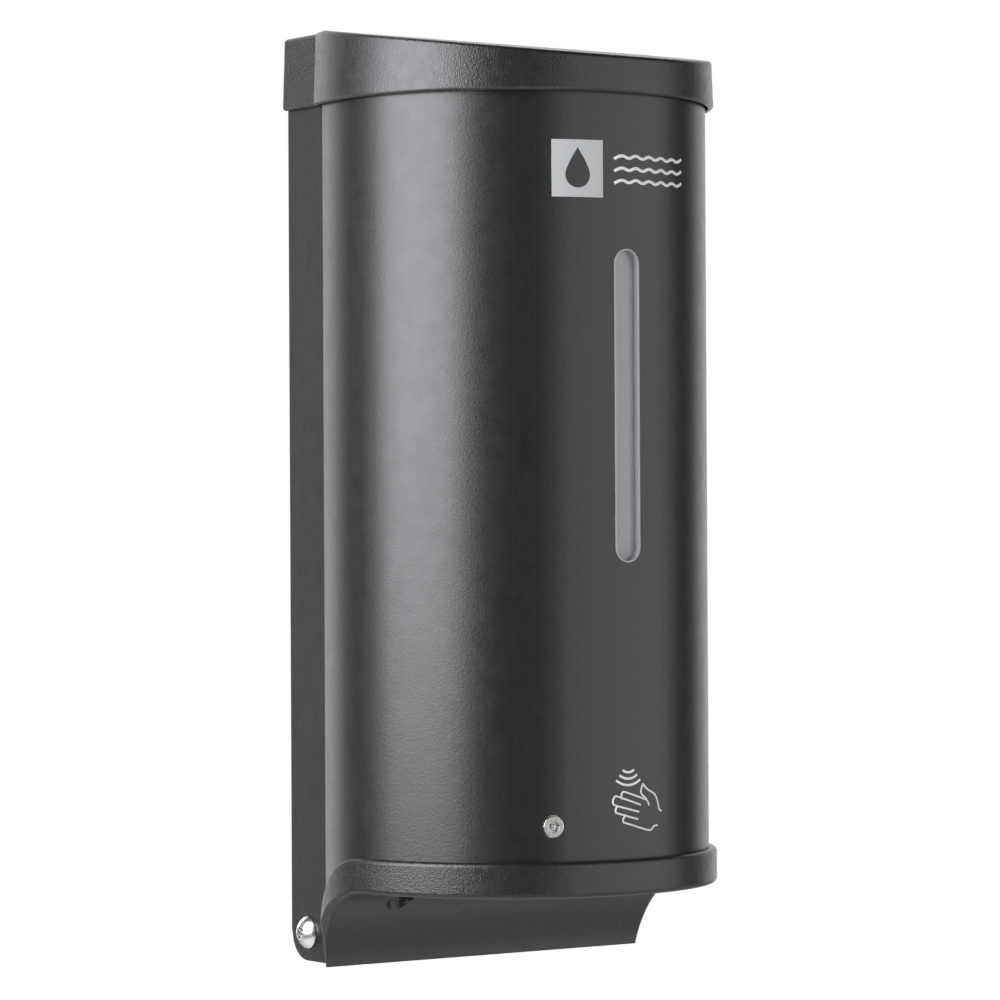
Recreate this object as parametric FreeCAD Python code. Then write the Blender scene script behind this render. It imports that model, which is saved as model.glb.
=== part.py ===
import FreeCAD, Part
import math
import os
from FreeCAD import Vector

os.makedirs("parts", exist_ok=True)

# Touch-free soap dispenser for a wall. X is to the right, the wall is the plane Y = 0 and the front
# faces -Y. Heights in this file are measured up from the lowest edge of the casing, and every piece
# is exported lowered by ORIGIN_HEIGHT, so that the origin is the centre of the wall fixings.
ORIGIN_HEIGHT = 150.0

# ---------------------------------------------------------------- driving dimensions, mm
# Casing: a rolled front cover between two flat side strips, a top cap and a bottom moulding.
COVER_R = 63.4  # outer radius of the rolled front cover
COVER_AXIS_Y = -39.0  # its upright axis, in front of the wall
SHEET = 1.0  # cover sheet
SEAM_Y = -22.0  # rear edges of the cover
STRIP_X = 60.2  # outer faces of the side strips
STRIP_SHEET = 1.2
STRIP_REAR_Y = -0.1
COVER_TOP = 279.0
CAP_BOTTOM = 275.0
CAP_TOP = 298.2
CAP_BREAK_Y = -27.0  # the cap's top is level behind this line and falls to the front
CAP_SLOPE = 0.151
CAP_OVERHANG = 2.7
CAP_SIDE_OVERHANG = 2.0
CAP_DRAFT = 0.9 / 25.0
MOULD_R = 66.0  # outer radius of the bottom moulding's collar
COLLAR_TOP = 36.5
LIP = 25.3  # underside of the collar, and the ceiling above the hand
COVE_Y, COVE_Z, COVE_R = -49.5, -1.3, 26.6  # hollow sweep from the ceiling down to the skirt
SWEEP_Y, SWEEP_Z, SWEEP_R = -49.0, 10.9, 25.6  # the collar's upper edge as it turns down
WALL = 2.2  # moulded walls
SIDE_LEAN, SIDE_LEAN_TOP = 5.0, 24.3  # the moulding's sides lean in below this height

# Hinge of the casing, on the wall plate's two ears.
PIVOT_Y, PIVOT_Z = -9.5, 10.0
PIVOT_CORNER_R = 9.0
PIVOT_R = 2.95
EAR_X = 55.5
EAR_SHEET = 2.0

# Wall plate and its fixings.
PLATE_X = 55.5
PLATE_SHEET = 1.5
PLATE_LOW, PLATE_HIGH = 16.0, 268.0
PLATE_RIM = 5.0
FIX_X, FIX_Z = 40.0, 90.0  # half spacings
FIX_R = 2.75

# Window slot and lock in the cover.
SLOT_HALF = 4.9
SLOT_LOW, SLOT_HIGH = 128.7, 226.7
LENS_PROUD, LENS_WALL, LENS_DEPTH, LENS_FACE = 0.12, 0.5, 2.1, 0.9
LOCK_X, LOCK_Z = -25.3, 47.4
LOCK_HEAD_R = 3.15

# Drive module: an open tub under the tank, closed by a lid.
TUB_R = 58.0
TUB_X = 54.0
TUB_REAR = -6.5
TUB_LOW, TUB_HIGH = 37.0, 111.0
TUB_FLAT_Y = -76.0  # flat front on the pump's side, where the lock and its catch need room
TUB_FLAT_X = -10.0
TUB_WALL = 2.0
LID_TOP = 113.0

# Tank.
TANK_R = 57.0
TANK_X = 53.0
TANK_LOW, TANK_HIGH = 115.0, 252.0
TANK_REAR = -8.0
TANK_WALL = 1.6
NECK_Y, NECK_R = -50.0, 17.0

# Squeeze pump, its gears and the soap line. Their axes run along Y.
LINE_Y = -65.0  # plane of the soap line
ROTOR_X, ROTOR_Z = -27.0, 68.0
ROLLER_PCR = 8.5
ROLLER_R = 3.5
TRACK_R = 15.4
TUBE_R = 3.0
TUBE_BORE = 1.6
GEAR_MODULE = 0.6
PINION_TEETH, WHEEL_TEETH = 10, 40
IDLER_TEETH, OUTPUT_TEETH = 12, 48
IDLER_X, IDLER_Z = -14.0, 80.45
MOTOR_X, MOTOR_Z = -2.0, 71.45
PUMP_FRONT, PUMP_REAR = -72.0, -56.0
GEAR_B = (-55.2, -51.2)  # output gear and idler pinion
GEAR_A = (-50.6, -47.6)  # idler wheel and motor pinion
PLATE_A = (-46.6, -44.6)  # rear wall of the gearbox

# Batteries: four upright cells of 14.2 mm by 50 mm.
CELL_R, CELL_LENGTH = 7.1, 49.0
BAT_X = (11.6, 44.8)
BAT_Y = (-71.8, -39.0)
BAT_Z = (40.0, 105.0)

# Sensor head and power inlet.
SENSOR_Y = -84.0
JACK_X, JACK_Y = -41.0, -35.5
JACK_HOLE_R = 4.75

BIG = 400.0
X_AXIS, Y_AXIS, Z_AXIS = Vector(1, 0, 0), Vector(0, 1, 0), Vector(0, 0, 1)


# ---------------------------------------------------------------- shapes used by many pieces
def box(x0, x1, y0, y1, z0, z1):
    return Part.makeBox(x1 - x0, y1 - y0, z1 - z0, Vector(x0, y0, z0))


def rod_x(x0, x1, y, z, r):
    return Part.makeCylinder(r, x1 - x0, Vector(x0, y, z), X_AXIS)


def rod_y(y0, y1, x, z, r):
    return Part.makeCylinder(r, y1 - y0, Vector(x, y0, z), Y_AXIS)


def rod_z(z0, z1, x, y, r):
    return Part.makeCylinder(r, z1 - z0, Vector(x, y, z0), Z_AXIS)


def drum(r, z0, z1):
    """An upright cylinder about the axis of the cover's curve."""
    return rod_z(z0, z1, 0, COVER_AXIS_Y, r)


def ring(r_out, r_in, z0, z1):
    return drum(r_out, z0, z1).cut(drum(r_in, z0 - 1, z1 + 1))


def joined(pieces):
    whole = pieces[0]
    if len(pieces) > 1:
        whole = whole.multiFuse(pieces[1:])
    return whole.removeSplitter()


def turned(shape, degrees):
    """The shape turned about the axis of the cover's curve."""
    shape = shape.copy()
    shape.rotate(Vector(0, COVER_AXIS_Y, 0), Z_AXIS, degrees)
    return shape


def mirrored(shape):
    return shape.mirror(Vector(0, 0, 0), X_AXIS)


def stadium(half, z0, z1, y0, y1):
    """A slot shape with round ends, seen from the front and run along Y."""
    return joined([
        box(-half, half, y0, y1, z0 + half, z1 - half),
        rod_y(y0, y1, 0, z0 + half, half),
        rod_y(y0, y1, 0, z1 - half, half),
    ])


def side_profile(points, x0, x1):
    """A solid whose outline in the YZ plane is the given points, run along X."""
    corners = [Vector(x0, y, z) for y, z in points]
    face = Part.Face(Part.makePolygon(corners + corners[:1]))
    return face.extrude(Vector(x1 - x0, 0, 0))


def front_profile(points, y0, y1):
    """A solid whose outline in the XZ plane is the given points, run along Y."""
    corners = [Vector(x, y0, z) for x, z in points]
    face = Part.Face(Part.makePolygon(corners + corners[:1]))
    return face.extrude(Vector(0, y1 - y0, 0))


def edges_where(shape, wanted):
    return [e for e in shape.Edges if wanted(e)]


def save(name, shape):
    shape = shape.copy()
    shape.translate(Vector(0, 0, -ORIGIN_HEIGHT))
    shape.exportStep("parts/" + name + ".step")


# ---------------------------------------------------------------- casing
LOCK_TURN = math.degrees(math.asin(-LOCK_X / COVER_R))  # the lock stands square to the sheet
TAB_TURNS_TOP = (-62.0, 0.0, 62.0)
TAB_TURNS_LOW = (-74.0, -40.0, 40.0, 74.0)
TAB_R = 55.0  # screws in the cover's bent tabs stand on this radius
TAB_LOW_Z = 31.4
TAB_TOP_Z = 278.0
STRIP_TAB_X, STRIP_TAB_Y = 53.5, -13.0


def lock_rod(r_from, r_to, r):
    """A cylinder along the lock's axis between two radii of the cover's curve."""
    return turned(rod_y(COVER_AXIS_Y - r_to, COVER_AXIS_Y - r_from, 0, LOCK_Z, r), -LOCK_TURN)


def hand_space(grow):
    """The hollow under the moulding, where the hand goes, grown upwards and rearwards."""
    return joined([
        rod_x(-BIG, BIG, COVE_Y, COVE_Z, COVE_R + grow),
        box(-BIG, BIG, -BIG, COVE_Y, -50, LIP + grow),
    ])


def bent_tab(turn, z, hole_r):
    tab = box(-6, 6, COVER_AXIS_Y - COVER_R + 0.5, COVER_AXIS_Y - TAB_R + 5, z, z + SHEET)
    tab = tab.cut(rod_z(z - 1, z + 3, 0, COVER_AXIS_Y - TAB_R, hole_r))
    return turned(tab, turn)


def front_cover():
    low = 13.5
    sheet = ring(COVER_R, COVER_R - SHEET, low, COVER_TOP)
    sheet = sheet.common(box(-BIG, BIG, -BIG, SEAM_Y, low - 1, COVER_TOP + 1))
    sheet = sheet.cut(hand_space(WALL + 0.4))
    sheet = sheet.cut(stadium(SLOT_HALF, SLOT_LOW, SLOT_HIGH, -120, -90))
    sheet = sheet.cut(lock_rod(COVER_R - 5, COVER_R + 5, LOCK_HEAD_R + 0.4))
    tabs = [bent_tab(turn, TAB_TOP_Z, 1.6) for turn in TAB_TURNS_TOP]
    tabs += [bent_tab(turn, TAB_LOW_Z, 1.6) for turn in TAB_TURNS_LOW]
    return joined([sheet] + tabs)


def side_strip():
    """The right-hand strip: a flat sheet with a round lower corner about the hinge, a joggled
    flange that backs the cover's sheet, and a tab under the cap."""
    x0, x1 = STRIP_X - STRIP_SHEET, STRIP_X
    flange_y = SEAM_Y - 9
    flat = [
        rod_x(x0, x1, PIVOT_Y, PIVOT_Z, PIVOT_CORNER_R),
        box(x0, x1, SEAM_Y + 0.1, PIVOT_Y, PIVOT_Z - PIVOT_CORNER_R, 40),
        box(x0, x1, SEAM_Y + 0.1, STRIP_REAR_Y, PIVOT_Z, 40),
        box(x0, x1, flange_y, STRIP_REAR_Y, 40, COVER_TOP),
    ]
    hug = ring(COVER_R - SHEET - 0.05, COVER_R - SHEET - 1.2, 44, 270)
    hug = hug.common(box(50, 70, SEAM_Y - 23, flange_y + 1.2, 40, 280))
    web = box(x0, x1 + 1.2, flange_y, flange_y + 1.2, 44, 270)
    tab = box(STRIP_TAB_X - 5, x1, STRIP_TAB_Y - 6, STRIP_TAB_Y + 6, TAB_TOP_Z, COVER_TOP)
    strip = joined(flat + [hug, web, tab])
    sheet_space = ring(COVER_R + 1, COVER_R - SHEET - 0.03, 13, COVER_TOP + 1)
    strip = strip.cut(sheet_space.common(box(-BIG, BIG, -BIG, SEAM_Y + 0.1, 0, 300)))
    strip = strip.cut(rod_z(270, 290, STRIP_TAB_X, STRIP_TAB_Y, 1.6))
    return strip.cut(rod_x(50, 70, PIVOT_Y, PIVOT_Z, 4.02))


def cap_block(inset, drop, rear):
    """The cap's outside, or with an inset and a drop the hollow inside it."""
    height = CAP_TOP + 4 - CAP_BOTTOM
    r_low = COVER_R + CAP_OVERHANG - inset
    cone = Part.makeCone(r_low, r_low - height * CAP_DRAFT, height, Vector(0, COVER_AXIS_Y, CAP_BOTTOM))
    cone = cone.common(box(-BIG, BIG, -BIG, SEAM_Y + 1.0 - min(inset, 0.7), CAP_BOTTOM - 1, CAP_TOP + 9))
    half = STRIP_X + CAP_SIDE_OVERHANG - inset
    lean = height * CAP_DRAFT
    high = CAP_TOP + 4
    outline = [(-half, CAP_BOTTOM), (half, CAP_BOTTOM), (half - lean, high), (lean - half, high)]
    rear_part = front_profile(outline, SEAM_Y - 8, rear)
    block = joined([cone, rear_part])
    fall = (CAP_BREAK_Y + 110) * CAP_SLOPE
    top = CAP_TOP - drop
    profile = side_profile([
        (rear, CAP_BOTTOM), (rear, top), (CAP_BREAK_Y, top), (-110, top - fall), (-110, CAP_BOTTOM),
    ], -80, 80)
    return block.common(profile)


def top_cap():
    shell = cap_block(0, 0, STRIP_REAR_Y)

    def rim(edge):
        spot = edge.valueAt((edge.FirstParameter + edge.LastParameter) / 2)
        box_z = edge.BoundBox
        on_top = box_z.ZMin > CAP_TOP - 13.5 and spot.z > CAP_TOP - 13.5
        level = box_z.ZLength < 13
        crosses = abs(spot.x) < 1 and box_z.XLength > 100 and abs(spot.y - CAP_BREAK_Y) < 3
        upright = box_z.ZLength > 15
        return on_top and level and not crosses and not upright

    shell = shell.makeFillet(1.3, edges_where(shell, rim))

    def lower_edge(edge):
        return edge.BoundBox.ZMax < CAP_BOTTOM + 0.01 and abs(edge.BoundBox.YMin - STRIP_REAR_Y) > 0.1

    shell = shell.makeChamfer(0.7, edges_where(shell, lower_edge))
    shell = shell.cut(cap_block(1.7, WALL, 5))
    for turn in TAB_TURNS_TOP:
        boss = turned(rod_z(COVER_TOP, CAP_TOP - 3, 0, COVER_AXIS_Y - TAB_R, 3.4), turn)
        shell = shell.fuse(boss.common(cap_block(1.0, 1.0, 5)))
    for side in (-1, 1):
        boss = rod_z(COVER_TOP, CAP_TOP - 1, side * STRIP_TAB_X, STRIP_TAB_Y, 3.4)
        shell = shell.fuse(boss)
    for turn in TAB_TURNS_TOP:
        shell = shell.cut(turned(rod_z(270, 284, 0, COVER_AXIS_Y - TAB_R, 1.35), turn))
    for side in (-1, 1):
        shell = shell.cut(rod_z(270, 286, side * STRIP_TAB_X, STRIP_TAB_Y, 1.35))
    return shell.removeSplitter()


def moulding_block():
    """The moulding's outside: a collar that turns down at both sides into a thin skirt."""
    block = drum(MOULD_R, 0, COLLAR_TOP)
    block = block.makeFillet(1.4, edges_where(block, lambda e: e.BoundBox.ZMin > COLLAR_TOP - 0.1))
    block = block.common(box(-BIG, BIG, -BIG, SEAM_Y, 0, COLLAR_TOP))
    above_sweep = box(-BIG, BIG, SWEEP_Y, 0, SWEEP_Z, COLLAR_TOP + 5)
    above_sweep = above_sweep.cut(rod_x(-BIG, BIG, SWEEP_Y, SWEEP_Z, SWEEP_R))
    behind_skirt = side_profile([
        (SWEEP_Y + SWEEP_R, SWEEP_Z), (SEAM_Y, 0), (SEAM_Y, -1), (5, -1), (5, SWEEP_Z),
    ], -BIG, BIG)
    block = block.cut(above_sweep).cut(behind_skirt).cut(hand_space(0))

    def lip(edge):
        b = edge.BoundBox
        return b.ZMin > LIP - 0.1 and b.ZMax < LIP + 0.1 and b.YMin < -100

    block = block.makeFillet(1.6, edges_where(block, lip))
    half = MOULD_R - SIDE_LEAN + 0.1
    full = half + SIDE_LEAN
    right = [(half, -1), (half, 0), (full, SIDE_LEAN_TOP), (full + 5, SIDE_LEAN_TOP + 20), (full + 5, 60)]
    sides = right + [(-x, z) for x, z in reversed(right)]
    return block.common(front_profile(sides, -BIG, 0))


def bottom_moulding():
    block = moulding_block()
    pocket = drum(MOULD_R - 2.6, 0, COLLAR_TOP + 5)
    pocket = pocket.common(box(-BIG, BIG, -BIG, SEAM_Y - WALL, 0, 60)).cut(hand_space(WALL))
    slot = ring(MOULD_R - 2.6, COVER_R - SHEET - 0.3, 12.8, 60).cut(hand_space(WALL))
    block = block.cut(pocket).cut(slot)
    boss = rod_z(0, 34, JACK_X, JACK_Y, 7).cut(hand_space(0.3))
    bosses = [boss.common(box(-BIG, BIG, -BIG, SEAM_Y - 1, 5, 32))]
    for turn in TAB_TURNS_LOW:
        bosses.append(turned(rod_z(LIP + 1, TAB_LOW_Z, 0, COVER_AXIS_Y - TAB_R, 3.4), turn))
    block = joined([block] + bosses)
    block = block.cut(rod_z(0, 40, JACK_X, JACK_Y, JACK_HOLE_R))
    for turn in TAB_TURNS_LOW:
        block = block.cut(turned(rod_z(LIP + 1.4, 40, 0, COVER_AXIS_Y - TAB_R, 1.35), turn))
    return block.cut(head_outline(1.2, LIP - 3, LIP + 5))


def head_outline(grow, z0, z1):
    """Plan of the nozzle and sensor head, long from front to rear with round ends."""
    half = 10.0 + grow
    front, rear = SENSOR_Y - 1.0, LINE_Y + 1.0
    return joined([
        box(-half, half, front, rear, z0, z1),
        rod_z(z0, z1, 0, front, half),
        rod_z(z0, z1, 0, rear, half),
    ])


def window_lens():
    """Clear tray in the slot: a thin wall round a recessed face, on a flange behind the sheet."""
    rim = ring(COVER_R + LENS_PROUD, COVER_R - LENS_DEPTH - LENS_FACE, SLOT_LOW - 1, SLOT_HIGH + 1)
    rim = rim.common(stadium(SLOT_HALF - 0.1, SLOT_LOW + 0.1, SLOT_HIGH - 0.1, -120, -90))
    recess = ring(COVER_R + 3, COVER_R - LENS_DEPTH, SLOT_LOW - 1, SLOT_HIGH + 1)
    inner = SLOT_HALF - 0.1 - LENS_WALL
    low, high = SLOT_LOW + 0.1 + LENS_WALL, SLOT_HIGH - 0.1 - LENS_WALL
    recess = recess.common(stadium(inner, low, high, -120, -90))
    flange = ring(COVER_R - SHEET - 0.1, COVER_R - SHEET - 1.1, SLOT_LOW - 8, SLOT_HIGH + 8)
    flange = flange.common(stadium(SLOT_HALF + 3.6, SLOT_LOW - 3.6, SLOT_HIGH + 3.6, -120, -90))
    return joined([rim, flange]).cut(recess)


def window_retainer():
    frame = ring(COVER_R - SHEET - 1.15, COVER_R - SHEET - 2.1, SLOT_LOW - 12, SLOT_HIGH + 12)
    frame = frame.common(stadium(SLOT_HALF + 6, SLOT_LOW - 6, SLOT_HIGH + 6, -120, -90))
    return frame.cut(stadium(SLOT_HALF + 0.3, SLOT_LOW - 0.3, SLOT_HIGH + 0.3, -120, -90))


def pan_screw(z, length, up):
    """A small pan-head screw on the Z axis: its head's underside is at z."""
    away = -1 if up else 1
    head = Part.makeCylinder(2.8, 1.8, Vector(0, 0, z), Vector(0, 0, away))
    edge = [e for e in head.Edges if abs(e.BoundBox.ZMin - (z + 1.8 * away)) < 0.01 and e.Length > 10]
    head = head.makeFillet(0.7, edge)
    shank = Part.makeCylinder(1.35, length, Vector(0, 0, z), Vector(0, 0, -away))
    cross = joined([
        box(-1.5, 1.5, -0.3, 0.3, z + away * 2.4 - 1.2, z + away * 2.4 + 1.2),
        box(-0.3, 0.3, -1.5, 1.5, z + away * 2.4 - 1.2, z + away * 2.4 + 1.2),
    ])
    return joined([head, shank]).cut(cross)


def placed(shape, x, y):
    shape = shape.copy()
    shape.translate(Vector(x, y, 0))
    return shape


def cap_screws():
    one = pan_screw(TAB_TOP_Z, 5.5, True)
    ring_ones = [turned(placed(one, 0, COVER_AXIS_Y - TAB_R), turn) for turn in TAB_TURNS_TOP]
    rear_ones = [placed(one, side * STRIP_TAB_X, STRIP_TAB_Y) for side in (-1, 1)]
    return Part.makeCompound(ring_ones + rear_ones)


def moulding_screws():
    one = pan_screw(TAB_LOW_Z + SHEET, 5.4, False)
    return Part.makeCompound([turned(placed(one, 0, COVER_AXIS_Y - TAB_R), turn) for turn in TAB_TURNS_LOW])


# ---------------------------------------------------------------- hinge
def pivot_screw():
    """Dome-headed screw, right-hand side, with a six-sided socket and its centre pin."""
    face = STRIP_X + 0.15
    rise, rim = 3.0, 5.3
    ball_r = (rim * rim + rise * rise) / (2 * rise)
    ball = Part.makeSphere(ball_r, Vector(face + rise - ball_r, PIVOT_Y, PIVOT_Z))
    head = ball.common(rod_x(face, face + rise + 1, PIVOT_Y, PIVOT_Z, rim))
    shank = rod_x(EAR_X - 8, face + 0.5, PIVOT_Y, PIVOT_Z, PIVOT_R)
    hexagon = [
        Vector(face + 1.0, PIVOT_Y + 2.2 * math.cos(a), PIVOT_Z + 2.2 * math.sin(a))
        for a in [math.radians(30 + 60 * k) for k in range(6)]
    ]
    socket = Part.Face(Part.makePolygon(hexagon + hexagon[:1])).extrude(Vector(5, 0, 0))
    socket = socket.cut(rod_x(face, face + 2.3, PIVOT_Y, PIVOT_Z, 0.7))
    return joined([head, shank]).cut(socket)


def pivot_bush():
    """Flanged bush in the strip: it turns on the screw, and its flange spaces the strip off the ear."""
    sleeve = rod_x(STRIP_X - STRIP_SHEET - 0.02, STRIP_X, PIVOT_Y, PIVOT_Z, 4.0)
    flange = rod_x(EAR_X + 0.25, STRIP_X - STRIP_SHEET - 0.02, PIVOT_Y, PIVOT_Z, 6.0)
    return joined([sleeve, flange]).cut(rod_x(50, 70, PIVOT_Y, PIVOT_Z, PIVOT_R + 0.07))


def hinge_nut():
    corners = [
        Vector(EAR_X - EAR_SHEET - 5, PIVOT_Y + 5.77 * math.cos(a), PIVOT_Z + 5.77 * math.sin(a))
        for a in [math.radians(60 * k) for k in range(6)]
    ]
    body = Part.Face(Part.makePolygon(corners + corners[:1])).extrude(Vector(5, 0, 0))
    return body.cut(rod_x(40, 60, PIVOT_Y, PIVOT_Z, PIVOT_R))


def back_plate():
    """Wall plate: a shallow tray of sheet with two ears for the hinge and four wall holes."""
    tray = box(-PLATE_X, PLATE_X, -PLATE_SHEET - PLATE_RIM, 0, PLATE_LOW, PLATE_HIGH)
    hollow = box(
        PLATE_SHEET - PLATE_X, PLATE_X - PLATE_SHEET, -20, -PLATE_SHEET,
        PLATE_LOW + PLATE_SHEET, PLATE_HIGH - PLATE_SHEET,
    )
    pieces = [tray.cut(hollow)]
    for side in (-1, 1):
        x0, x1 = sorted((side * EAR_X, side * (EAR_X - EAR_SHEET)))
        pieces.append(rod_x(x0, x1, PIVOT_Y, PIVOT_Z, 8.4))
        pieces.append(box(x0, x1, PIVOT_Y - 8.4, 0, PIVOT_Z, 34))
    plate = joined(pieces)
    for side in (-1, 1):
        x0, x1 = sorted((side * 40, side * 60))
        plate = plate.cut(rod_x(x0, x1, PIVOT_Y, PIVOT_Z, 3.05))
    for x in (-FIX_X, FIX_X):
        for z in (ORIGIN_HEIGHT - FIX_Z, ORIGIN_HEIGHT + FIX_Z):
            plate = plate.cut(rod_y(-10, 5, x, z, FIX_R))
    for x, z in MODULE_FIXINGS:
        plate = plate.cut(rod_y(-10, 5, x, z, 1.6))
    return plate


# ---------------------------------------------------------------- lock
CAM_R_IN, CAM_R_OUT = 48.6, 50.2


def lock_bush():
    flange = lock_rod(COVER_R - SHEET - 1.6, COVER_R - SHEET - 0.15, 7.5)
    body = lock_rod(CAM_R_OUT + 0.4, COVER_R - SHEET - 0.5, 5.0)
    bush = joined([flange, body])
    bush = bush.common(drum(COVER_R - SHEET - 0.1, 0, 100))
    bush = bush.cut(lock_rod(COVER_R - 2.7, COVER_R, LOCK_HEAD_R + 0.06))
    return bush.cut(lock_rod(40, 70, 3.06))


def lock_spindle():
    head = lock_rod(COVER_R - 2.6, COVER_R + 0.25, LOCK_HEAD_R)
    shaft = lock_rod(CAM_R_IN - 3.2, COVER_R - 2.5, 2.99)
    spindle = joined([head, shaft]).cut(lock_rod(COVER_R - 1.6, COVER_R + 3, 1.75))
    pin = lock_rod(COVER_R - 2.0, COVER_R - 0.3, 0.6)
    return joined([spindle, pin])


def lock_cam():
    """The cam points straight up when it is open; a quarter turn lays it on the catch."""
    blade = box(-3, 3, COVER_AXIS_Y - CAM_R_OUT, COVER_AXIS_Y - CAM_R_IN, LOCK_Z, LOCK_Z + 11)
    tip = rod_y(COVER_AXIS_Y - CAM_R_OUT, COVER_AXIS_Y - CAM_R_IN, 0, LOCK_Z + 11, 3)
    blade = turned(joined([blade, tip]), -LOCK_TURN)
    hub = lock_rod(CAM_R_IN, CAM_R_OUT, 4.6)
    return joined([blade, hub]).cut(lock_rod(40, 70, 2.99))


def lock_nut():
    return lock_rod(CAM_R_IN - 2.6, CAM_R_IN, 4.4).cut(lock_rod(40, 70, 2.99))


def catch_bracket():
    ledge_top = LOCK_Z - 3 - 0.4
    ledge = box(-36, -27, TUB_FLAT_Y - 9, TUB_FLAT_Y, ledge_top - 1.5, ledge_top)
    leg = box(-36, -27, TUB_FLAT_Y - 1.5, TUB_FLAT_Y, ledge_top - 6.5, ledge_top)
    foot = box(-44, -27, TUB_FLAT_Y - 1.5, TUB_FLAT_Y, ledge_top - 6.5, ledge_top - 1.0)
    bracket = joined([ledge, leg, foot])
    return bracket.cut(rod_y(-90, -70, -40, ledge_top - 3.8, 1.3))


# ---------------------------------------------------------------- drive module
MODULE_FIXINGS = ((-47.0, 60.0), (47.0, 60.0), (-47.0, 100.0), (47.0, 100.0))


def module_plan(inset, z0, z1):
    """Plan of the module: the cover's curve, but flat in front of the pump."""
    r, x = TUB_R - inset, TUB_X - inset
    plan = drum(r, z0, z1).common(box(-x, x, -BIG, COVER_AXIS_Y, z0, z1))
    plan = plan.cut(box(-BIG, TUB_FLAT_X + inset, -BIG, TUB_FLAT_Y + inset, z0 - 1, z1 + 1))
    return joined([plan, box(-x, x, COVER_AXIS_Y, TUB_REAR - inset, z0, z1)])


def module_tub():
    tub = module_plan(0, TUB_LOW, TUB_HIGH).cut(module_plan(TUB_WALL, TUB_LOW + TUB_WALL, TUB_HIGH + 5))
    standoffs = [rod_y(TUB_REAR - 1, -PLATE_SHEET, x, z, 4.0) for x, z in MODULE_FIXINGS]
    tub = joined([tub] + standoffs)
    for x, z in MODULE_FIXINGS:
        tub = tub.cut(rod_y(-20, 5, x, z, 1.6))
    tub = tub.cut(head_outline(-2.0, TUB_LOW - 1, TUB_LOW + 3))
    tub = tub.cut(rod_z(TUB_LOW - 1, TUB_LOW + 3, JACK_X, JACK_Y, 5.0))
    tub = tub.cut(rod_y(-80, -70, ROTOR_X, ROTOR_Z, 16.0))
    tub = tub.cut(box(BAT_X[0] + 2, BAT_X[1] - 3.5, -120, -60, BAT_Z[0] + 4, BAT_Z[1] - 3))
    return tub.cut(box(-2.0, 2.0, -100, -90, 91, 101))


def module_lid():
    lid = module_plan(0, TUB_HIGH, LID_TOP)
    lip = module_plan(TUB_WALL + 0.1, TUB_HIGH - 3, TUB_HIGH + 1)
    lip = lip.cut(module_plan(TUB_WALL + 1.7, TUB_HIGH - 4, TUB_HIGH))
    lip = lip.cut(box(BAT_X[0] - 2, 60, -120, -30, TUB_HIGH - 4, TUB_HIGH))
    lid = joined([lid, lip])
    return lid.cut(rod_z(TUB_HIGH - 5, LID_TOP + 1, 0, LINE_Y, 7.0))


def module_screws():
    screws = []
    for x, z in MODULE_FIXINGS:
        head = rod_y(TUB_REAR - TUB_WALL - 1.8, TUB_REAR - TUB_WALL, x, z, 2.8)
        shank = rod_y(TUB_REAR - TUB_WALL, 0, x, z, 1.5)
        slot = box(x - 2, x + 2, TUB_REAR - TUB_WALL - 2, TUB_REAR - TUB_WALL - 1.0, z - 0.35, z + 0.35)
        screws.append(joined([head, shank]).cut(slot))
    return Part.makeCompound(screws)


def sensor_head():
    """Hollow snout under the module, with the nozzle at its rear and the sensor at its front."""
    snout = head_outline(0, LIP + 0.7, TUB_LOW)
    snout = snout.cut(head_outline(-1.6, LIP + 2.3, TUB_LOW + 1))
    snout = snout.cut(rod_z(LIP - 1, LIP + 5, 0, LINE_Y, 5.6))
    return snout.cut(box(-6.0, 6.0, SENSOR_Y - 5, SENSOR_Y + 5, LIP - 1, LIP + 5))


def sensor_window():
    plate = box(-5.9, 5.9, SENSOR_Y - 4.9, SENSOR_Y + 4.9, LIP + 0.9, LIP + 2.35)
    return joined([plate, box(-6.6, 6.6, SENSOR_Y - 5.4, SENSOR_Y + 6, LIP + 2.3, LIP + 3.4)])


def sensor_board():
    board = box(-6.4, 6.4, SENSOR_Y - 5.6, SENSOR_Y + 7, LIP + 9.5, LIP + 10.7)
    cups = []
    for x in (-3.2, 3.2):
        body = rod_z(LIP + 6.6, LIP + 9.5, x, SENSOR_Y, 2.4)
        dome = Part.makeSphere(2.4, Vector(x, SENSOR_Y, LIP + 6.6))
        cups.append(joined([body, dome]))
    return joined([board] + cups)


def status_lamp():
    body = rod_z(LIP + 5.2, LIP + 9.5, 0, SENSOR_Y - 4.4, 1.1)
    return joined([body, Part.makeSphere(1.1, Vector(0, SENSOR_Y - 4.4, LIP + 5.2))])


def nozzle():
    """Turned nozzle: a barb for the tube, a flange in the snout and a tapered spout."""
    barb = rod_z(40.0, 45.0, 0, LINE_Y, TUBE_BORE)
    flange = rod_z(LIP + 5.2, LIP + 7.2, 0, LINE_Y, 7.0)
    body = rod_z(LIP + 2.2, 40.0, 0, LINE_Y, 4.6)
    bore = rod_z(LIP - 2, 46, 0, LINE_Y, 1.0)
    return joined([barb, flange, body]).cut(bore).cut(rod_z(LIP, LIP + 8, 0, LINE_Y, 2.6))


def nozzle_valve():
    """Soft slit valve at the mouth of the nozzle."""
    skirt = rod_z(LIP + 2.3, LIP + 7.9, 0, LINE_Y, 2.5)
    taper = Part.makeCone(1.2, 2.5, 1.9, Vector(0, LINE_Y, LIP + 0.4))
    valve = joined([skirt, taper])
    valve = valve.cut(rod_z(LIP + 2.3, LIP + 9, 0, LINE_Y, 1.3))
    return valve.cut(box(-1.0, 1.0, LINE_Y - 0.1, LINE_Y + 0.1, LIP, LIP + 2.3))


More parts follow.
